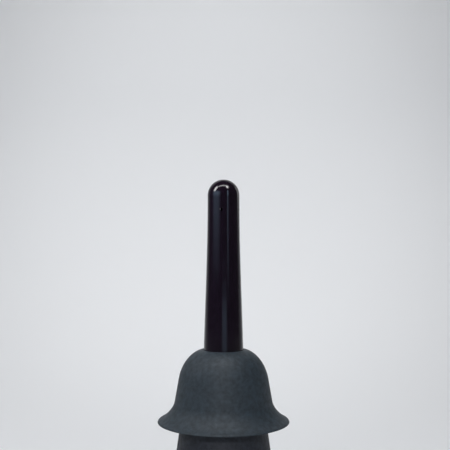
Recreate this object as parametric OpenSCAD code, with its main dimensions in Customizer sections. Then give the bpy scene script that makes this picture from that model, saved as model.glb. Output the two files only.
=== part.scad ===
// Douche bulb: a rubber squeeze bulb whose neck holds a screwed-in nozzle under a bell-shaped guard.
// Millimetres, +Z up, with the origin on the floor at the middle of the foot.

/* [Bulb] */
// Diameter of the bulb at its widest
bulb_d = 84; // [78:1:92]
// Height of the widest ring above the floor
belly_z = 42; // [39:0.5:46]
// Diameter of the flat ring that the bulb stands on
foot_d = 50; // [44:1:54]
// Width of that ring
foot_ring_w = 5; // [4:0.5:7]
// Depth of the dish inside the ring
foot_dish = 1.6; // [1:0.2:2.4]
// Wall of the chamber
bulb_wall = 3; // [2.4:0.2:4]
// Height of the chamber's floor
chamber_floor_z = 5; // [4.5:0.5:6]

/* [Neck of the bulb] */
// Height of the neck's top above the floor
neck_top_z = 134; // [130:1:140]
// Diameter of the neck at its top
neck_top_d = 38.2; // [37:0.2:39]
// Draft of the neck's side, in degrees
neck_draft = 8.1; // [7:0.1:9]
// Height at which the neck's straight side ends and the shoulder begins
neck_foot_z = 86; // [82:1:90]
// Wall of the hollow part of the neck
neck_wall = 5.5; // [4.5:0.5:7]
// Radius of the round on the neck's top edge
neck_edge_r = 1.6; // [1:0.2:2]
// Depth of rubber between the bush's lower end and the chamber
throat_l = 3.6; // [3:0.2:5]

/* [Neck bush] */
// Diameter of the bush's flange
bush_flange_d = 31; // [29:0.5:32]
// Thickness of the bush's flange
bush_flange_t = 2.4; // [2:0.2:3]
// Diameter of the bush's barrel
bush_barrel_d = 24; // [23:0.5:25]
// Length of the bush's barrel
bush_barrel_l = 16; // [15:0.5:18]
// Number of barbs round the barrel
barb_count = 3; // [2:1:3]
// Height of a barb above the barrel
barb_h = 0.9; // [0.6:0.1:1.2]
// Length of a barb along the barrel
barb_l = 3.4; // [3:0.2:4]
// Length of the level land at a barb's crest
barb_land = 0.6; // [0.4:0.1:1]
// Clearance between the bush and its socket in the rubber
socket_clearance = 0.1; // [0.05:0.05:0.2]

/* [Screwed joint] */
// Outer diameter of the nozzle's threaded shank
shank_d = 18.8; // [18:0.2:19.6]
// Length of the shank below the nozzle's flange
shank_l = 14; // [13:0.5:15]
// Lead-in chamfer at the shank's end and at the bush's mouth
thread_chamfer = 0.8; // [0.6:0.1:1]
// Running clearance on the radius between the shank and the bush
thread_clearance = 0.08; // [0.05:0.01:0.1]

/* [Sealing washer] */
// Outer diameter of the washer
washer_d = 26.4; // [25:0.2:27.6]
// Thickness of the washer
washer_t = 1.6; // [1.2:0.1:2]
// Clearance on the radius between the washer and the shank
washer_clearance = 0.3; // [0.2:0.1:0.5]

/* [Nozzle] */
// Length of the tube above the guard
nozzle_l = 91.8; // [80:0.2:105]
// Diameter of the tube where it leaves the guard
nozzle_foot_d = 21.4; // [20.8:0.2:22]
// Diameter of the tube's round end
nozzle_tip_d = 17.2; // [16.5:0.1:18.5]
// Draft of the tube at its foot, in degrees
nozzle_foot_draft = 1.8; // [1.4:0.1:2.2]
// Diameter of the flange at the tube's foot
nozzle_flange_d = 26.8; // [26:0.2:27.6]
// Thickness of the flange
nozzle_flange_t = 3; // [2.4:0.2:3.6]
// Chamfer on the flanges' edges
flange_edge = 0.5; // [0.3:0.1:0.7]
// Diameter of the water passage at the shank's end
passage_foot_d = 14.2; // [13:0.2:15]
// Wall of the tube at its round end
nozzle_tip_wall = 2.3; // [2:0.1:2.8]
// Diameter of the outlet in the tip
tip_outlet_d = 2; // [1.6:0.1:2.6]
// Diameter of the outlets round the side
side_outlet_d = 1.6; // [1.2:0.1:2]
// Number of outlets round the side
side_outlets = 4; // [2:1:8]
// Distance of the side outlets below the tip
side_outlet_drop = 16.3; // [14:0.1:24]
// Turn of the first side outlet from the front, in degrees
side_outlet_turn = 7.7; // [0:0.1:45]

/* [Bell guard] */
// Height of the guard from its brim to its crown
bell_h = 38.8; // [37:0.2:41]
// Diameter of the brim
brim_d = 71; // [68:0.2:76]
// Slope of the brim below level, in degrees
brim_slope = 23; // [16:1:30]
// Diameter of the flat on the crown
crown_flat_d = 22.2; // [22.1:0.1:23.4]
// Diameter of the side where the shoulder ends
shoulder_d = 48.5; // [47:0.1:50]
// Height of that ring above the brim
shoulder_z = 23; // [22:0.2:26]
// Diameter of the side where the flare begins
waist_d = 52.8; // [51:0.2:54]
// Height of that ring above the brim
waist_z = 10.8; // [10:0.1:13]
// Wall at the crown
crown_wall = 3.2; // [2.8:0.1:3.6]
// Wall of the side
side_wall = 2.4; // [2:0.1:2.6]
// Thickness of the brim's round lip
lip_t = 0.8; // [0.6:0.1:1.4]
// Clearance on the radius between the guard's bore and the nozzle
guard_clearance = 0.05; // [0.03:0.01:0.1]
// Clearance on the radius between the nozzle's flange and its seat in the guard
seat_clearance = 0.4; // [0.3:0.1:0.6]

/* [Hidden] */
$fn = 96;

rubber_grey = [0.19, 0.19, 0.22];
bell_grey = [0.24, 0.26, 0.29];
gloss_black = [0.06, 0.06, 0.08];
bush_grey = [0.42, 0.43, 0.45];
washer_red = [0.45, 0.16, 0.13];

curve_steps = 12;
arc_steps = 8;

// Fullness of each curve at its two ends, as shares of the curve's height or width
bulb_shoulder_pull = [0.42, 0.5];
bulb_hip_pull = [0.58, 0.62];
tube_pull = [0.5, 0.3];
bell_shoulder_pull = [0.26, 0.72];
bell_flare_pull = [0.38, 0.49];

// Heights of the stack from the neck's top up to the guard's crown and the nozzle's tip
bush_top_z = neck_top_z + bush_flange_t;
washer_top_z = bush_top_z + washer_t;
flange_top_z = washer_top_z + nozzle_flange_t;
crown_z = flange_top_z + crown_wall;
tip_z = crown_z + nozzle_l;
brim_z = crown_z - bell_h;

// Round end of the nozzle, and the tube's radius down at its flange
tip_r = nozzle_tip_d / 2;
tip_centre_z = tip_z - tip_r;
flange_top_r = nozzle_foot_d / 2 + crown_wall * tan(nozzle_foot_draft);

// Neck of the bulb
neck_top_r = neck_top_d / 2;
neck_foot_r = neck_top_r + (neck_top_z - neck_foot_z) * tan(neck_draft);
socket_floor_z = neck_top_z - bush_barrel_l - socket_clearance;
throat_r = shank_d / 2 + thread_clearance;
throat_z = socket_floor_z - throat_l;
chamber_neck_z = throat_z - (neck_top_r - neck_wall - throat_r) / 2;

// Point of a cubic curve with the corner points p, at share t of its run
function curve_point(p, t) =
    pow(1 - t, 3) * p[0] + 3 * t * pow(1 - t, 2) * p[1] + 3 * t * t * (1 - t) * p[2] + pow(t, 3) * p[3];

// Direction of that curve at share t
function curve_way(p, t) =
    let (w = pow(1 - t, 2) * (p[1] - p[0]) + 2 * t * (1 - t) * (p[2] - p[1]) + t * t * (p[3] - p[2]))
    w / norm(w);

// Points along a cubic curve, without its first point where another curve ends there
function curve(p, first = 0) = [for (i = [first:curve_steps]) curve_point(p, i / curve_steps)];

// The same curve moved to its right by a wall that runs from w0 to w1
function inner_curve(p, w0, w1) =
    [for (i = [0:curve_steps])
        let (t = i / curve_steps, way = curve_way(p, t))
        curve_point(p, t) + (w0 + (w1 - w0) * t) * [way.y, -way.x]];

// Points of an arc round the centre c, from angle a0 to a1, less the ends that other curves hold
function arc(c, r, a0, a1, ends = 0) =
    [for (i = [ends:arc_steps - ends])
        let (a = a0 + (a1 - a0) * i / arc_steps)
        c + r * [cos(a), sin(a)]];

// List of points turned end for end
function reversed(path) = [for (i = [len(path) - 1:-1:0]) path[i]];

// Radius of the neck's straight side at height z
function neck_r(z) = neck_top_r + (neck_top_z - z) * tan(neck_draft);

// Side of the bulb from the neck's foot over the belly to the floor ring, drawn in by a wall
function body_side(neck_in, wall, ring_r, ring_z) =
    let (
        top = [neck_foot_r - neck_in, neck_foot_z],
        belly = [bulb_d / 2 - wall, belly_z],
        ring = [ring_r, ring_z],
        neck_way = [sin(neck_draft), -cos(neck_draft)],
        rise = neck_foot_z - belly_z,
        neck_pull = rise * bulb_shoulder_pull[0] * neck_way,
        belly_pull = [0, rise * bulb_shoulder_pull[1]],
        hip_pull = [0, (belly_z - ring_z) * bulb_hip_pull[0]],
        ring_pull = [(belly.x - ring_r) * bulb_hip_pull[1], 0]
    )
    concat(
        curve([top, top + neck_pull, belly + belly_pull, belly]),
        curve([belly, belly - hip_pull, ring + ring_pull, ring], 1)
    );

// Barrel of the bush with its barbs, from the flange down, grown by a clearance
function barrel_side(grow) =
    let (r = bush_barrel_d / 2 + grow, crest = r + barb_h, end_z = neck_top_z - bush_barrel_l)
    concat(
        [[r, neck_top_z]],
        [for (i = [barb_count:-1:1])
            let (z = end_z + i * barb_l)
            each [[r, z + grow], [crest, z + grow], [crest, z - barb_land], [r, z - barb_l + barb_land]]],
        [[r, end_z - grow]]
    );

module bulb() {
    edge_in = neck_edge_r * (1 - sin(neck_draft)) / cos(neck_draft);
    outside = concat(
        arc([neck_top_r - edge_in, neck_top_z - neck_edge_r], neck_edge_r, 90, neck_draft),
        body_side(0, 0, foot_d / 2, 0)
    );
    underside = [
        [foot_d / 2 - foot_ring_w, 0],
        [foot_d / 2 - foot_ring_w - foot_dish, foot_dish],
        [0, foot_dish]
    ];
    chamber_floor_r = foot_d / 2 - foot_ring_w;
    inside = concat(
        [[0, chamber_floor_z]],
        reversed(body_side(neck_wall, bulb_wall, chamber_floor_r, chamber_floor_z)),
        [
            [neck_r(chamber_neck_z) - neck_wall, chamber_neck_z],
            [throat_r, throat_z],
            [throat_r, socket_floor_z]
        ],
        reversed(barrel_side(socket_clearance))
    );
    color(rubber_grey)
        rotate_extrude()
            polygon(concat(outside, underside, inside));
}

module neck_bushing() {
    bore_r = shank_d / 2 + thread_clearance;
    outline = concat(
        [
            [bore_r + thread_chamfer, bush_top_z],
            [bush_flange_d / 2 - flange_edge, bush_top_z],
            [bush_flange_d / 2, bush_top_z - flange_edge],
            [bush_flange_d / 2, neck_top_z]
        ],
        barrel_side(0),
        [
            [bore_r, neck_top_z - bush_barrel_l],
            [bore_r, bush_top_z - thread_chamfer]
        ]
    );
    color(bush_grey)
        rotate_extrude()
            polygon(outline);
}

module sealing_washer() {
    color(washer_red)
        translate([0, 0, bush_top_z])
            difference() {
                cylinder(h = washer_t, d = washer_d);
                translate([0, 0, -1])
                    cylinder(h = washer_t + 2, r = shank_d / 2 + washer_clearance);
            }
}

module nozzle() {
    shank_r = shank_d / 2;
    shank_end_z = washer_top_z - shank_l;
    flange_r = nozzle_flange_d / 2;
    passage_tip_r = tip_r - nozzle_tip_wall;
    tube_foot = [nozzle_foot_d / 2, crown_z];
    tube_end = [tip_r, tip_centre_z];
    tube_l = tip_centre_z - crown_z;
    foot_pull = tube_l * tube_pull[0] * [-tan(nozzle_foot_draft), 1];
    outside = concat(
        [
            [shank_r - thread_chamfer, shank_end_z],
            [shank_r, shank_end_z + thread_chamfer],
            [shank_r, washer_top_z],
            [flange_r, washer_top_z],
            [flange_r, flange_top_z - flange_edge],
            [flange_r - flange_edge, flange_top_z],
            [flange_top_r, flange_top_z]
        ],
        curve([tube_foot, tube_foot + foot_pull, tube_end - [0, tube_l * tube_pull[1]], tube_end]),
        arc([0, tip_centre_z], tip_r, 0, 90, 1),
        [[0, tip_z]]
    );
    inside = concat(
        [[0, tip_z - nozzle_tip_wall]],
        arc([0, tip_centre_z], passage_tip_r, 90, 0, 1),
        [[passage_tip_r, tip_centre_z], [passage_foot_d / 2, shank_end_z]]
    );
    color(gloss_black)
        difference() {
            rotate_extrude()
                polygon(concat(outside, inside));
            translate([0, 0, tip_centre_z])
                cylinder(h = tip_r + 1, d = tip_outlet_d);
            for (i = [0:side_outlets - 1])
                translate([0, 0, tip_z - side_outlet_drop])
                    rotate([0, 0, -90 - side_outlet_turn + i * 360 / side_outlets])
                        rotate([0, 90, 0])
                            cylinder(h = nozzle_foot_d, d = side_outlet_d);
        }
}

module bell_guard() {
    crown = [crown_flat_d / 2, bell_h];
    shoulder = [shoulder_d / 2, shoulder_z];
    waist = [waist_d / 2, waist_z];
    side_way = (waist - shoulder) / norm(waist - shoulder);
    brim_way = [cos(brim_slope), -sin(brim_slope)];
    lip_centre = [brim_d / 2 - lip_t / 2, lip_t / 2];
    brim = lip_centre + lip_t / 2 * [sin(brim_slope), cos(brim_slope)];
    shoulder_run = shoulder - crown;
    flare_run = brim - waist;
    shoulder_curve = [
        crown,
        crown + [shoulder_run.x * bell_shoulder_pull[0], 0],
        shoulder + shoulder_run.y * bell_shoulder_pull[1] * side_way,
        shoulder
    ];
    flare_curve = [
        waist,
        waist - flare_run.y * bell_flare_pull[0] * side_way,
        brim - flare_run.x * bell_flare_pull[1] * brim_way,
        brim
    ];
    bore_top_r = nozzle_foot_d / 2 + guard_clearance;
    bore_foot_r = flange_top_r + guard_clearance;
    ceiling_z = bell_h - crown_wall;
    seat_depth = nozzle_flange_t;
    outline = concat(
        [[bore_top_r, bell_h]],
        curve(shoulder_curve),
        curve(flare_curve),
        arc(lip_centre, lip_t / 2, 90 - brim_slope, -90 - brim_slope, 1),
        reversed(inner_curve(flare_curve, side_wall, lip_t)),
        reversed(inner_curve(shoulder_curve, crown_wall, side_wall)),
        [[bore_foot_r, ceiling_z]]
    );
    color(bell_grey)
        translate([0, 0, brim_z])
            difference() {
                rotate_extrude()
                    polygon(outline);
                translate([0, 0, ceiling_z - seat_depth])
                    cylinder(h = seat_depth, r = nozzle_flange_d / 2 + seat_clearance);
            }
}

bulb();
neck_bushing();
sealing_washer();
nozzle();
bell_guard();
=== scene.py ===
# Looks of a douche bulb, put together from the floor up: bulb, bush, washer, nozzle and bell guard.

import math

import bmesh
import bpy
from mathutils import Matrix, Vector
from mathutils.geometry import interpolate_bezier


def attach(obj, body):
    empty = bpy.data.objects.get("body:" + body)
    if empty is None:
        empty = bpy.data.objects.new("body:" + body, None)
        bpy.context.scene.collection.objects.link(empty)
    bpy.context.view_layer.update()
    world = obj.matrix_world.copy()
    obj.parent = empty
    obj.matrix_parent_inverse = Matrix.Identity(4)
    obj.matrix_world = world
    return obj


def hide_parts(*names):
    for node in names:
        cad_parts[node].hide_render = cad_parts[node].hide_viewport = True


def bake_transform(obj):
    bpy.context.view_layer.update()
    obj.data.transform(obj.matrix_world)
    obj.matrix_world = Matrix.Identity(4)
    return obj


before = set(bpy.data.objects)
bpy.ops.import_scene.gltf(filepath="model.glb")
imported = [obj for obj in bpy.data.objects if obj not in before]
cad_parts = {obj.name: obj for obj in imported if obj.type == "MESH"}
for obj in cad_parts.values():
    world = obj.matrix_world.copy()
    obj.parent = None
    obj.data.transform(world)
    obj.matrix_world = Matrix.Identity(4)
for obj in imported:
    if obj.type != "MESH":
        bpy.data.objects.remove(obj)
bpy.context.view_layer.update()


# Bulb
# The squeeze bag of the syringe, with the thick neck that holds the nozzle. It is moulded in one piece from
# soft black rubber in a steel mould of two halves, whose joint left a fine raised line down both sides and
# whose blasted walls left the skin matt.

# Sizes are in millimetres and heights are above the floor, and mm turns them into Blender's metres
mm = 0.001
bulb_r = 42
belly_z = 42
foot_r = 25
foot_ring_w = 5
foot_dish = 1.6
bulb_wall = 3
chamber_floor_z = 5
neck_top_z = 134
neck_top_r = 19.1
neck_draft = math.radians(8.1)
neck_foot_z = 86
neck_wall = 5.5
neck_edge_r = 1.6
throat_r = 9.48
throat_l = 3.6
socket_clearance = 0.1
barrel_r = 12
barrel_l = 16
barb_count = 3
barb_h = 0.9
barb_l = 3.4
barb_land = 0.6

# How full the bag's two curves are at their ends, as shares of their height or width
bag_shoulder_pull = (0.42, 0.5)
bag_hip_pull = (0.58, 0.62)

# Rings of points round the neck. A squeeze shortens the bag up to the ring at 104 mm, and no higher
neck_rings_z = (125, 115, 104, 95)

# The mould line, and the radius past which a face that looks outwards is the bag's skin
mould_line_turn = 12
mould_line_w = 0.5
mould_line_h = 0.15
mould_line_low_z = 3
mould_line_high_z = 131
skin_r = 17

# Points closer than this are one point
touching = 0.001


def curve(start, start_pull, end_pull, end, steps=16):
    """Points of radius and height, in millimetres, along a cubic curve."""
    corners = [Vector((r, 0, z)) for r, z in (start, start_pull, end_pull, end)]
    return [(p.x, p.z) for p in interpolate_bezier(*corners, steps + 1)]


def arc(centre, radius, first, last, steps=8):
    """Points round an arc, between two angles in degrees up from straight outwards."""
    angles = [math.radians(first + (last - first) * i / steps) for i in range(steps + 1)]
    return [(centre[0] + radius * math.cos(a), centre[1] + radius * math.sin(a)) for a in angles]


def turned(outline, columns, start_turn=0.0):
    """A closed outline of radius and height turned once round Z, from a column at start_turn degrees."""
    bm = bmesh.new()
    way = Matrix.Rotation(math.radians(start_turn), 3, "Z")
    points = [bm.verts.new(way @ Vector((r, 0, z)) * mm) for r, z in outline]
    for a, b in zip(points, points[1:] + points[:1]):
        if max(a.co.xy.length, b.co.xy.length) > touching * mm:
            bm.edges.new((a, b))
    bmesh.ops.spin(
        bm, geom=bm.verts[:] + bm.edges[:], cent=(0, 0, 0), axis=(0, 0, 1),
        angle=math.tau, steps=columns, use_merge=True,
    )
    bmesh.ops.remove_doubles(bm, verts=bm.verts, dist=touching * mm)
    bmesh.ops.recalc_face_normals(bm, faces=bm.faces)
    return bm


def round_edges(bm, radius, segments=3, limit=30):
    """Rounds every edge that turns by more than limit degrees."""
    sharp = [e for e in bm.edges if e.calc_face_angle(0) > math.radians(limit)]
    bmesh.ops.bevel(
        bm, geom=sharp, offset=radius * mm, offset_type="OFFSET", segments=segments,
        profile=0.5, affect="EDGES", clamp_overlap=True, material=-1,
    )


def piece(name, bm, material, limit=35):
    """An object made from a bmesh, at the origin, smooth over edges that turn by up to limit degrees."""
    mesh = bpy.data.meshes.new(name)
    bm.to_mesh(mesh)
    bm.free()
    mesh.shade_smooth()
    mesh.set_sharp_from_angle(angle=math.radians(limit))
    mesh.materials.append(material)
    made = bpy.data.objects.new(name, mesh)
    bpy.context.scene.collection.objects.link(made)
    return made


def neck_r(z):
    """Radius of the neck's straight side at a height."""
    return neck_top_r + (neck_top_z - z) * math.tan(neck_draft)


def bag_side(neck_in, wall, ring_r, ring_z):
    """The bag from the neck's foot over the belly to its floor ring, drawn in by a wall."""
    top_r, belly_r = neck_r(neck_foot_z) - neck_in, bulb_r - wall
    rise, drop = neck_foot_z - belly_z, belly_z - ring_z
    top_pull = bag_shoulder_pull[0] * rise
    shoulder = curve(
        (top_r, neck_foot_z),
        (top_r + top_pull * math.sin(neck_draft), neck_foot_z - top_pull * math.cos(neck_draft)),
        (belly_r, belly_z + bag_shoulder_pull[1] * rise),
        (belly_r, belly_z),
    )
    hip = curve(
        (belly_r, belly_z),
        (belly_r, belly_z - bag_hip_pull[0] * drop),
        (ring_r + bag_hip_pull[1] * (belly_r - ring_r), ring_z),
        (ring_r, ring_z),
    )
    return shoulder + hip[1:]


def barrel_side(grow):
    """The barbed barrel that sits in the neck, from its top down, grown by a clearance."""
    r, end_z = barrel_r + grow, neck_top_z - barrel_l
    crest_r = r + barb_h
    side = [(r, neck_top_z)]
    for i in range(barb_count, 0, -1):
        z = end_z + i * barb_l
        side += [(r, z + grow), (crest_r, z + grow), (crest_r, z - barb_land), (r, z - barb_l + barb_land)]
    return side + [(r, end_z - grow)]


edge_in = neck_edge_r * (1 - math.sin(neck_draft)) / math.cos(neck_draft)
outside = arc((neck_top_r - edge_in, neck_top_z - neck_edge_r), neck_edge_r, 90, math.degrees(neck_draft))
outside += [(neck_r(z), z) for z in neck_rings_z] + bag_side(0, 0, foot_r, 0)
dish_r = foot_r - foot_ring_w
outside += [(dish_r, 0), (dish_r - foot_dish, foot_dish), (0, foot_dish)]
socket_floor_z = neck_top_z - barrel_l - socket_clearance
throat_z = socket_floor_z - throat_l
roof_z = throat_z - (neck_top_r - neck_wall - throat_r) / 2
inner_rings_z = sorted(z for z in neck_rings_z if z < roof_z)
inside = [(0, chamber_floor_z)] + bag_side(neck_wall, bulb_wall, dish_r, chamber_floor_z)[::-1]
inside += [(neck_r(z) - neck_wall, z) for z in inner_rings_z + [roof_z]]
inside += [(throat_r, throat_z), (throat_r, socket_floor_z)] + barrel_side(socket_clearance)[::-1]
bag = turned(outside + inside, columns=128, start_turn=mould_line_turn)


def on_skin(point, normal):
    """Whether a place on the bag is on its outer skin, clear of the mouth and the chamber."""
    return normal.xy.dot(point.xy) > 0 and point.xy.length > skin_r * mm


# The skin is cut along both edges of the mould line, and the column of points between them is raised
across = Matrix.Rotation(math.radians(mould_line_turn), 3, "Z") @ Vector((0, 1, 0))
for side in (-1, 1):
    skin = [f for f in bag.faces if on_skin(f.calc_center_median(), f.normal)]
    bmesh.ops.bisect_plane(
        bag, geom=list({p for f in skin for p in (*f.verts, *f.edges)}) + skin, dist=1e-8,
        plane_co=across * side * mould_line_w / 2 * mm, plane_no=across,
    )
bag.normal_update()
for v in bag.verts:
    in_middle = abs(v.co.dot(across)) < mould_line_w / 50 * mm
    if in_middle and mould_line_low_z < v.co.z / mm < mould_line_high_z and on_skin(v.co, v.normal):
        v.co += v.normal * mould_line_h * mm


def linear(colour):
    """An sRGB hex colour as linear red, green, blue and alpha."""
    shares = [int(colour[i : i + 2], 16) / 255 for i in (1, 3, 5)]
    return [s / 12.92 if s <= 0.04045 else ((s + 0.055) / 1.055) ** 2.4 for s in shares] + [1]


def add(material, kind, inputs, **settings):
    """Adds a shader node with its settings. Each input is a value, or another node's output to link."""
    made = material.node_tree.nodes.new("ShaderNode" + kind)
    for name, value in settings.items():
        setattr(made, name, value)
    for name, value in inputs.items():
        if isinstance(value, bpy.types.NodeSocket):
            material.node_tree.links.new(value, made.inputs[name])
        else:
            made.inputs[name].default_value = value
    return made


def blank(name):
    """A new material that has no nodes yet."""
    made = bpy.data.materials.new(name)
    made.use_nodes = True
    made.node_tree.nodes.clear()
    return made


def moulded_rubber(name, dark, light):
    """Soft rubber with a blasted skin: dull, a little uneven in tone, with a fine close grain."""
    made = blank(name)
    place = add(made, "TexCoord", {}).outputs["Object"]
    # Bloom and handling leave the tone and the dullness uneven over about 2.5 mm
    bloom = add(made, "TexNoise", {"Vector": place, "Scale": 1 / (2.5 * mm), "Detail": 3.0, "Roughness": 0.6})
    share = add(made, "MapRange", {"Value": bloom.outputs["Fac"], "From Min": 0.3, "From Max": 0.7})
    tone = add(
        made, "Mix", {0: share.outputs["Result"], 6: linear(dark), 7: linear(light)}, data_type="RGBA",
    )
    dullness = add(
        made, "MapRange",
        {"Value": bloom.outputs["Fac"], "From Min": 0.3, "From Max": 0.7, "To Min": 0.68, "To Max": 0.58},
    )
    # The blasted grain is about 0.15 mm, and is drawn at 0.7 mm so that it shows
    grain = add(made, "TexNoise", {"Vector": place, "Scale": 1 / (0.7 * mm), "Detail": 2.0, "Roughness": 0.5})
    relief = add(made, "Bump", {"Height": grain.outputs["Fac"], "Strength": 0.6, "Distance": 0.04 * mm})
    surface = add(
        made, "BsdfPrincipled",
        {
            "Base Color": tone.outputs[2], "Roughness": dullness.outputs["Result"],
            "Normal": relief.outputs["Normal"], "IOR": 1.52,
        },
    )
    add(made, "OutputMaterial", {"Surface": surface.outputs["BSDF"]})
    return made


bulb = piece("squeeze_bulb", bag, moulded_rubber("black_moulded_rubber", "#1B2029", "#2A303C"))
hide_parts("bulb")
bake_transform(bulb)


# Neck bush
# The hard grey liner of the neck, with barbs that the rubber grips and the female thread for the nozzle. It
# is injection moulded from nylon and pushed into the neck until its flange sits on the rubber.

bush_flange_r = 15.5
bush_flange_t = 2.4
bush_top_z = neck_top_z + bush_flange_t
bush_edge_r = 0.12
flange_edge = 0.5
bore_r = throat_r
bore_chamfer = 0.8

# The screwed joint: each thread's foot is sunk a little into the wall that carries it
pitch = 3
thread_columns = 64
thread_flank = 0.5
thread_fade = 0.6
thread_edge_r = 0.1
thread_sink = 0.1
bush_crest_r = 8.7
bush_crest_w = 0.85
bush_thread_low_z = 118.4
bush_thread_high_z = 135.6


def thread(bm, root_r, crest_r, crest_w, low_z, high_z, phase_z):
    """Adds a right-handed thread as one closed ridge that fades out at both ends. On the side towards +X its
    crest is at phase_z, give or take whole pitches."""
    crest_half, root_half = crest_w / 2, crest_w / 2 + thread_flank
    start_z, end_z = low_z + root_half, high_z - root_half
    turns = (end_z - start_z) / pitch
    steps = round(turns * thread_columns)
    way = Matrix.Rotation((start_z - phase_z) / pitch * math.tau, 3, "Z")
    ridge = bmesh.new()
    section = [(root_r, -root_half), (crest_r, -crest_half), (crest_r, crest_half), (root_r, root_half)]
    face = ridge.faces.new([ridge.verts.new(way @ Vector((r, 0, start_z + z)) * mm) for r, z in section])
    bmesh.ops.spin(
        ridge, geom=[face, *face.verts, *face.edges], cent=(0, 0, 0), axis=(0, 0, 1),
        angle=turns * math.tau, steps=steps, dvec=(0, 0, turns * pitch * mm / steps), use_merge=False,
    )
    bmesh.ops.holes_fill(ridge, edges=[e for e in ridge.edges if e.is_boundary], sides=len(section))
    bmesh.ops.recalc_face_normals(ridge, faces=ridge.faces)
    for v in ridge.verts:
        lead = (v.co.z / mm - phase_z) / pitch - math.atan2(v.co.y, v.co.x) / math.tau
        centre_z = v.co.z / mm - (lead - round(lead)) * pitch
        fade = max(0, min(1, (centre_z - start_z) / thread_fade, (end_z - centre_z) / thread_fade))
        r = v.co.xy.length / mm
        v.co.xy *= (root_r + (r - root_r) * fade) / r
    round_edges(ridge, thread_edge_r, segments=2)
    carry = bpy.data.meshes.new("thread")
    ridge.to_mesh(carry)
    ridge.free()
    bm.from_mesh(carry)
    bpy.data.meshes.remove(carry)


liner = turned(
    [
        (bore_r + bore_chamfer, bush_top_z),
        (bush_flange_r - flange_edge, bush_top_z),
        (bush_flange_r, bush_top_z - flange_edge),
        (bush_flange_r, neck_top_z),
    ]
    + barrel_side(0) + [(bore_r, neck_top_z - barrel_l), (bore_r, bush_top_z - bore_chamfer)],
    columns=96,
)
round_edges(liner, bush_edge_r, segments=2)
# Its ridge starts half a pitch from the nozzle's, and so lies in the nozzle's groove
thread(
    liner, bore_r + thread_sink, bush_crest_r, bush_crest_w, bush_thread_low_z, bush_thread_high_z,
    phase_z=pitch / 2,
)

# Moulded nylon: satin, a little waxy, almost even in tone. Its grain is under 0.1 mm, and is drawn at 0.5 mm
# so that it shows
nylon = blank("grey_moulded_nylon")
place = add(nylon, "TexCoord", {}).outputs["Object"]
flow = add(nylon, "TexNoise", {"Vector": place, "Scale": 1 / (6 * mm), "Detail": 2.0})
tone = add(
    nylon, "Mix", {0: flow.outputs["Fac"], 6: linear("#696B6F"), 7: linear("#75777B")}, data_type="RGBA",
)
grain = add(nylon, "TexNoise", {"Vector": place, "Scale": 1 / (0.5 * mm), "Detail": 1.0})
relief = add(nylon, "Bump", {"Height": grain.outputs["Fac"], "Strength": 0.4, "Distance": 0.01 * mm})
surface = add(
    nylon, "BsdfPrincipled",
    {"Base Color": tone.outputs[2], "Roughness": 0.42, "Normal": relief.outputs["Normal"], "IOR": 1.53},
)
add(nylon, "OutputMaterial", {"Surface": surface.outputs["BSDF"]})

bush = piece("neck_liner", liner, nylon)
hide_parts("neck_bushing")
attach(bush, "neck")


# Sealing washer
# The flat ring that seals the nozzle's flange against the bush. It is punched from red rubber sheet and
# slips loosely over the nozzle's thread.

washer_r = 13.2
washer_t = 1.6
washer_bore_r = 9.7
washer_top_z = bush_top_z + washer_t
washer_edge_r = 0.2

punched = turned(
    [
        (washer_bore_r, bush_top_z),
        (washer_r, bush_top_z),
        (washer_r, washer_top_z),
        (washer_bore_r, washer_top_z),
    ],
    columns=96,
)
round_edges(punched, washer_edge_r)

# Red rubber sheet: dull and slightly chalky, mottled by its filler over about 2 mm
red_rubber = blank("red_rubber_sheet")
place = add(red_rubber, "TexCoord", {}).outputs["Object"]
filler = add(
    red_rubber, "TexNoise", {"Vector": place, "Scale": 1 / (2 * mm), "Detail": 4.0, "Roughness": 0.65},
)
tone = add(
    red_rubber, "Mix", {0: filler.outputs["Fac"], 6: linear("#67281F"), 7: linear("#86392D")},
    data_type="RGBA",
)
relief = add(red_rubber, "Bump", {"Height": filler.outputs["Fac"], "Strength": 0.5, "Distance": 0.04 * mm})
surface = add(
    red_rubber, "BsdfPrincipled",
    {"Base Color": tone.outputs[2], "Roughness": 0.7, "Normal": relief.outputs["Normal"], "IOR": 1.52},
)
add(red_rubber, "OutputMaterial", {"Surface": surface.outputs["BSDF"]})

washer = piece("red_washer", punched, red_rubber)
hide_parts("sealing_washer")
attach(washer, "washer")


# Nozzle
# The hollow tube that the water leaves by, with a screwed shank, a flange and a round end. It is moulded
# from hard black plastic with a high polish, and its outlets are drilled afterwards.

shank_l = 14
shank_r = 9.4
shank_core_r = 8.6
shank_edge = 0.4
shank_end_z = washer_top_z - shank_l
shank_crest_w = 1
shank_thread_low_z = 124.2
shank_thread_high_z = 137.8
nozzle_flange_r = 13.4
nozzle_flange_t = 3
nozzle_edge_r = 0.12
flange_top_z = washer_top_z + nozzle_flange_t

# The tube leaves the guard at crown_z, where its radius is tube_foot_r, and is nozzle_l long above that
crown_z = 144.2
nozzle_l = 91.8
tube_foot_r = 10.7
tube_draft = math.tan(math.radians(1.8))
tube_pull = (0.5, 0.3)
tube_columns = 96
tip_r = 8.6
tip_wall = 2.3
tip_z = crown_z + nozzle_l
tip_centre_z = tip_z - tip_r
tip_outlet_r = 1
burr_depth = 0.05
passage_foot_r = 7.1
outlets = 4
outlet_r = 0.8
outlet_drop = 16.3
outlet_z = tip_z - outlet_drop

# Turn of the first side outlet from +X, in degrees, which is a little left of the camera
outlet_turn = -97.7

# The tube's grid of faces: the side of its square cells round the side outlets, and its other rows
cell = math.tau * tip_r / tube_columns
rows_below, rows_above = 24, 6

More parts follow.
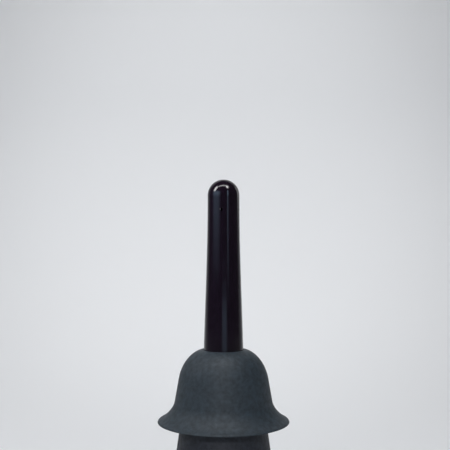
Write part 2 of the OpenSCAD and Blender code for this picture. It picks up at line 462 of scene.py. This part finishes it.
tube_l = tip_centre_z - crown_z
tube_side = curve(
    (tube_foot_r, crown_z),
    (tube_foot_r - tube_pull[0] * tube_l * tube_draft, crown_z + tube_pull[0] * tube_l),
    (tip_r, tip_centre_z - tube_pull[1] * tube_l),
    (tip_r, tip_centre_z),
    steps=160,
)


def tube_r(z):
    """Radius of the tube's outside at a height."""
    return min(tube_side, key=lambda point: abs(point[1] - z))[0]


def passage_r(z):
    """Radius of the water passage at a height."""
    share = (z - shank_end_z) / (tip_centre_z - shank_end_z)
    return passage_foot_r + (tip_r - tip_wall - passage_foot_r) * share


def drill(bm, turn, walls):
    """Bores a round outlet through the walls, whose grid has a crossing at the outlet's middle. In each wall
    three crossings each way give way to a circle of as many edges as the gap's square border has."""
    out = Matrix.Rotation(math.radians(turn), 3, "Z") @ Vector((1, 0, 0))
    aside = Vector((0, 0, 1)).cross(out)
    lay = Matrix((aside, Vector((0, 0, 1)), out)).transposed().to_4x4()
    lay.translation = Vector((0, 0, outlet_z * mm))
    reach = 1.5 * cell
    rim = []
    for wall_r in walls:
        r = wall_r(outlet_z)
        gone = [
            v for v in bm.verts
            if abs(v.co.z / mm - outlet_z) < reach
            and abs(v.co.dot(aside) / mm) < reach * r / tip_r
            and abs(v.co.dot(out) / mm - r) < tip_wall / 4
        ]
        old = {e for e in bm.edges if e.is_boundary}
        bmesh.ops.delete(bm, geom=gone, context="VERTS")
        border = [e for e in bm.edges if e.is_boundary and e not in old]
        circle = bmesh.ops.create_circle(bm, segments=len(border), radius=outlet_r * mm, matrix=lay)["verts"]
        for v in circle:
            v.co += out * math.sqrt((wall_r(v.co.z / mm) * mm) ** 2 - v.co.dot(aside) ** 2)
        edge = list({e for v in circle for e in v.link_edges})
        bmesh.ops.bridge_loops(bm, edges=border + edge)
        if rim:
            bmesh.ops.bridge_loops(bm, edges=rim + edge)
        rim = edge


# Rings of the tube: square cells round the side outlets, and taller ones below and above them
low_z, high_z = outlet_z - 2 * cell, outlet_z + 2 * cell
rows = [crown_z + (low_z - crown_z) * i / rows_below for i in range(rows_below)]
rows += [outlet_z + cell * i for i in range(-2, 3)]
rows += [high_z + (tip_centre_z - high_z) * i / rows_above for i in range(1, rows_above)]

outline = [
    (shank_core_r - shank_edge, shank_end_z),
    (shank_core_r, shank_end_z + shank_edge),
    (shank_core_r, washer_top_z),
    (nozzle_flange_r, washer_top_z),
    (nozzle_flange_r, flange_top_z - flange_edge),
    (nozzle_flange_r - flange_edge, flange_top_z),
    (tube_foot_r + (crown_z - flange_top_z) * tube_draft, flange_top_z),
]
outline += [(tube_r(z), z) for z in rows]
outline += [p for p in arc((0, tip_centre_z), tip_r, 0, 90, steps=16) if p[0] > tip_outlet_r]
# The drill's burr is dressed off, so the tip outlet's edge lies a little under the dome
for r in (tip_r - burr_depth, tip_r - tip_wall):
    outline.append((tip_outlet_r, tip_centre_z + math.sqrt(r ** 2 - tip_outlet_r ** 2)))
outline += [p for p in arc((0, tip_centre_z), tip_r - tip_wall, 90, 0) if p[0] > tip_outlet_r]
# The passage has the tube's rows too, because the outlets are drilled at the same crossings of its grid
outline += [(passage_r(z), z) for z in rows[:1:-1]] + [(passage_foot_r, shank_end_z)]
tube = turned(outline, tube_columns, outlet_turn)
for i in range(outlets):
    drill(tube, outlet_turn + 360 / outlets * i, (tube_r, passage_r))
bmesh.ops.recalc_face_normals(tube, faces=tube.faces)
round_edges(tube, nozzle_edge_r)
thread(
    tube, shank_core_r - thread_sink, shank_r, shank_crest_w, shank_thread_low_z, shank_thread_high_z,
    phase_z=0,
)

# Polished hard plastic: near black with a hint of purple where light gets in, mirror-like but for faint
# waves of the mould's polish and a film of fine wiping marks
gloss_black = blank("polished_black_plastic")
place = add(gloss_black, "TexCoord", {}).outputs["Object"]
film = add(gloss_black, "TexNoise", {"Vector": place, "Scale": 1 / (7 * mm), "Detail": 3.0})
tone = add(
    gloss_black, "Mix", {0: film.outputs["Fac"], 6: linear("#110714"), 7: linear("#170B1A")},
    data_type="RGBA",
)
haze = add(
    gloss_black, "MapRange",
    {"Value": film.outputs["Fac"], "From Min": 0.3, "From Max": 0.7, "To Min": 0.09, "To Max": 0.15},
)
wave = add(gloss_black, "TexNoise", {"Vector": place, "Scale": 1 / (6 * mm), "Detail": 1.0})
relief = add(gloss_black, "Bump", {"Height": wave.outputs["Fac"], "Strength": 0.2, "Distance": 0.02 * mm})
surface = add(
    gloss_black, "BsdfPrincipled",
    {
        "Base Color": tone.outputs[2], "Roughness": haze.outputs["Result"],
        "Normal": relief.outputs["Normal"], "IOR": 1.5,
    },
)
add(gloss_black, "OutputMaterial", {"Surface": surface.outputs["BSDF"]})

nozzle = piece("polished_nozzle", tube, gloss_black)
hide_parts("nozzle")
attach(nozzle, "nozzle")


# Bell guard
# The soft bell that covers the screwed joint and stops the nozzle going in too far. It is moulded from
# charcoal rubber in one piece, with a thin flared brim, and is stretched over the nozzle's foot.

# Heights of the bell count from its brim
bell_h = 38.8
brim_z = crown_z - bell_h
brim_r = 35.5
brim_slope = math.radians(23)
crown_flat_r = 11.1
shoulder_r = 24.25
shoulder_z = 23
waist_r = 26.4
waist_z = 10.8
crown_wall = 3.2
side_wall = 2.4
lip_t = 0.8
bell_bore_r = 10.75
bell_bore_flare = 0.1
seat_r = 13.8
bell_edge_r = 0.2

# How full the bell's two curves are at their ends, as shares of their height or width
bell_shoulder_pull = (0.26, 0.72)
bell_flare_pull = (0.38, 0.49)

# The roll of the brim's edge: its radius, its centre's height and the angles between which it runs
roll_r = 1.1
roll_centre_z = -0.06
roll_start, roll_end = 67, 3


def drawn_in(points, start_wall, end_wall):
    """The inner side of an outline, by a wall that changes evenly along it."""
    moved = []
    for i, (r, z) in enumerate(points):
        (r0, z0), (r1, z1) = points[max(i - 1, 0)], points[min(i + 1, len(points) - 1)]
        way = Vector((r1 - r0, z1 - z0)).normalized()
        wall = start_wall + (end_wall - start_wall) * i / (len(points) - 1)
        moved.append((r + wall * way.y, z - wall * way.x))
    return moved


side_way = Vector((waist_r - shoulder_r, waist_z - shoulder_z)).normalized()
lip_r = brim_r - lip_t / 2 * (1 - math.sin(brim_slope))
lip_z = lip_t / 2 * (1 + math.cos(brim_slope))
shoulder_pull = -bell_shoulder_pull[1] * (bell_h - shoulder_z)
flare_pull = bell_flare_pull[0] * (waist_z - lip_z)
brim_pull = bell_flare_pull[1] * (lip_r - waist_r)
shoulder = curve(
    (crown_flat_r, bell_h),
    (crown_flat_r + bell_shoulder_pull[0] * (shoulder_r - crown_flat_r), bell_h),
    (shoulder_r + shoulder_pull * side_way.x, shoulder_z + shoulder_pull * side_way.y),
    (shoulder_r, shoulder_z),
    steps=24,
)
flare = curve(
    (waist_r, waist_z),
    (waist_r + flare_pull * side_way.x, waist_z + flare_pull * side_way.y),
    (lip_r - brim_pull * math.cos(brim_slope), lip_z + brim_pull * math.sin(brim_slope)),
    (lip_r, lip_z),
    steps=80,
)
ceiling_z = bell_h - crown_wall
inner_shoulder = [p for p in drawn_in(shoulder, crown_wall, side_wall)[::-1] if p[0] > seat_r]
# The outer side of the flare ends where the roll of the brim's edge begins
edge = arc((brim_r - roll_r, roll_centre_z), roll_r, roll_start, roll_end)
profile = [(bell_bore_r, bell_h)] + shoulder + [p for p in flare if p[0] < edge[0][0]] + edge
profile += drawn_in(flare, side_wall, lip_t)[::-1] + inner_shoulder
profile += [(seat_r, inner_shoulder[-1][1]), (seat_r, ceiling_z), (bell_bore_r + bell_bore_flare, ceiling_z)]
bell = turned([(r, z + brim_z) for r, z in profile], columns=128)
round_edges(bell, bell_edge_r)

guard = piece("bell_cover", bell, moulded_rubber("charcoal_moulded_rubber", "#1F2931", "#2D3A45"))
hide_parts("bell_guard")
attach(guard, "guard")


# Sweep, lights and camera
# A seamless sheet of pale card lies under the object and curves up well behind it. Soft boxes stand round
# the object. The polished nozzle mirrors every box that lights it, so all but the top box leave out the
# nozzle, the dull pieces or both.

# Sizes of the stage are in metres
sweep_w = 3.6
sweep_floor_y = (-2.2, -0.8)
sweep_wall_z = (0.9, 1.6)
sweep_bend_y = 0.35
sweep_bend_r = 0.4

run = [(y, 0) for y in sweep_floor_y]
run += arc((sweep_bend_y, sweep_bend_r), sweep_bend_r, -90, 0, steps=16)
run += [(sweep_bend_y + sweep_bend_r, z) for z in sweep_wall_z]
sweep = bmesh.new()
line = [sweep.verts.new((-sweep_w / 2, y, z)) for y, z in run]
edges = [sweep.edges.new(pair) for pair in zip(line, line[1:])]
spread = bmesh.ops.extrude_edge_only(sweep, edges=edges)["geom"]
far_side = [v for v in spread if isinstance(v, bmesh.types.BMVert)]
bmesh.ops.translate(sweep, verts=far_side, vec=(sweep_w, 0, 0))
bmesh.ops.recalc_face_normals(sweep, faces=sweep.faces)

# Pale card: even and matt, with hardly a sheen
card = blank("pale_card")
matt = add(
    card, "BsdfPrincipled", {"Base Color": linear("#F2F4F7"), "Roughness": 0.9, "Specular IOR Level": 0.2},
)
add(card, "OutputMaterial", {"Surface": matt.outputs["BSDF"]})
backdrop = piece("pale_sweep", sweep, card)

aim = Vector((0, 0, 0.22))


def softbox(name, way, distance, size, radiance, fade=0.3, tilt=0, colour=(1, 1, 1), only=()):
    """A soft box aimed near the nozzle's tip. way is in degrees right of the camera and above level, and only
    names what it lights. Its cloth is darker towards its edges, over fade as a share of its size."""
    width, height = size
    lamp = bpy.data.lights.new(name, "AREA")
    lamp.shape = "RECTANGLE"
    lamp.size, lamp.size_y = width, height
    lamp.energy = radiance * math.pi * width * height
    lamp.color = colour
    lamp.use_nodes = True
    lamp.node_tree.nodes.clear()
    cloth = add(lamp, "SeparateXYZ", {"Vector": add(lamp, "NewGeometry", {}).outputs["Parametric"]})
    share = 1.0
    for axis in "XY":
        from_middle = add(lamp, "Math", {0: cloth.outputs[axis], 1: 0.5}, operation="SUBTRACT")
        off = add(lamp, "Math", {0: from_middle.outputs[0]}, operation="ABSOLUTE")
        edge = add(
            lamp, "MapRange", {"Value": off.outputs[0], "From Min": 0.5, "From Max": 0.5 - fade},
            interpolation_type="SMOOTHSTEP",
        )
        share = add(lamp, "Math", {0: edge.outputs["Result"], 1: share}, operation="MULTIPLY").outputs[0]
    glow = add(lamp, "Emission", {"Strength": share})
    add(lamp, "OutputLight", {"Surface": glow.outputs[0]})
    azimuth, elevation = (math.radians(turn) for turn in way)
    out = Vector((
        math.sin(azimuth) * math.cos(elevation),
        -math.cos(azimuth) * math.cos(elevation),
        math.sin(elevation),
    ))
    box = bpy.data.objects.new(name, lamp)
    box.location = aim + out * distance
    facing = out.to_track_quat("Z", "Y").to_matrix()
    box.rotation_euler = (facing @ Matrix.Rotation(math.radians(tilt), 3, "Z")).to_euler()
    box.visible_camera = False
    bpy.context.scene.collection.objects.link(box)
    if only:
        lit = bpy.data.collections.new(name + "_lights")
        for thing in only:
            lit.objects.link(thing)
        box.light_linking.receiver_collection = lit


# A cool tint, in linear red, green and blue
cool = (0.68, 0.97, 1.3)
dull = (bulb, bush, washer, guard)
softbox("left_key", (-75, 40), 0.7, (0.25, 0.5), 13, only=(nozzle,))
softbox("left_side", (-92, 34), 0.75, (0.13, 0.48), 13, only=dull + (backdrop,))
softbox("left_box", (-54, 16), 0.6, (0.9, 0.46), 1.4, fade=0.4, colour=cool, only=(nozzle,))
softbox("top_box", (0, 74), 0.7, (1.0, 0.16), 6, fade=0.2)
softbox("right_key", (43, 57), 0.7, (0.17, 0.27), 15, only=(nozzle, backdrop))
softbox("right_strip", (32, 18), 0.7, (0.14, 0.6), 2.1, fade=0.35, tilt=-6, colour=cool, only=(nozzle,))
softbox("right_rim", (128, 16), 0.9, (0.28, 0.5), 0.9, fade=0.1, only=(nozzle,))
softbox("low_fill", (6, -7.5), 0.8, (0.55, 0.12), 0.5, colour=cool, only=(nozzle,))
softbox("overhead", (180, 70), 1.1, (1.6, 1.0), 1.4, fade=0.1, only=(backdrop,))
softbox("back_box", (180, 35), 0.9, (0.5, 0.3), 4.5, only=dull)
softbox("front_box", (-4, 18), 0.9, (0.36, 0.1), 38, only=dull)
softbox("high_box", (-5, 72), 0.8, (0.4, 0.2), 15, only=dull)

# A spot above the camera makes a pool of light on the card behind the object
spot = bpy.data.lights.new("card_spot", "SPOT")
spot.energy = 20
spot.spot_size = math.radians(36)
spot.spot_blend = 1.0
spot.shadow_soft_size = 0.05
pool = bpy.data.objects.new("card_spot", spot)
pool.location = (0, -0.6, 1.1)
pool_aim = Vector((0, 0.75, 0.24))
pool.rotation_euler = (Vector(pool.location) - pool_aim).to_track_quat("Z", "Y").to_euler()
bpy.context.scene.collection.objects.link(pool)

world = bpy.data.worlds.new("dim_room")
world.use_nodes = True
world.node_tree.nodes["Background"].inputs["Color"].default_value = (1, 1, 1, 1)
world.node_tree.nodes["Background"].inputs["Strength"].default_value = 0.07
bpy.context.scene.world = world

# The camera is level with the upper nozzle, from where the brim is seen from about 13 degrees above it
camera = bpy.data.objects.new("camera", bpy.data.cameras.new("camera"))
camera.location = (0.0008, -0.4666, 0.2114)
camera.rotation_euler = (math.pi / 2, 0, 0)
camera.data.lens = 69.1
bpy.context.scene.collection.objects.link(camera)
bpy.context.scene.camera = camera
bpy.context.scene.view_settings.view_transform = "Standard"
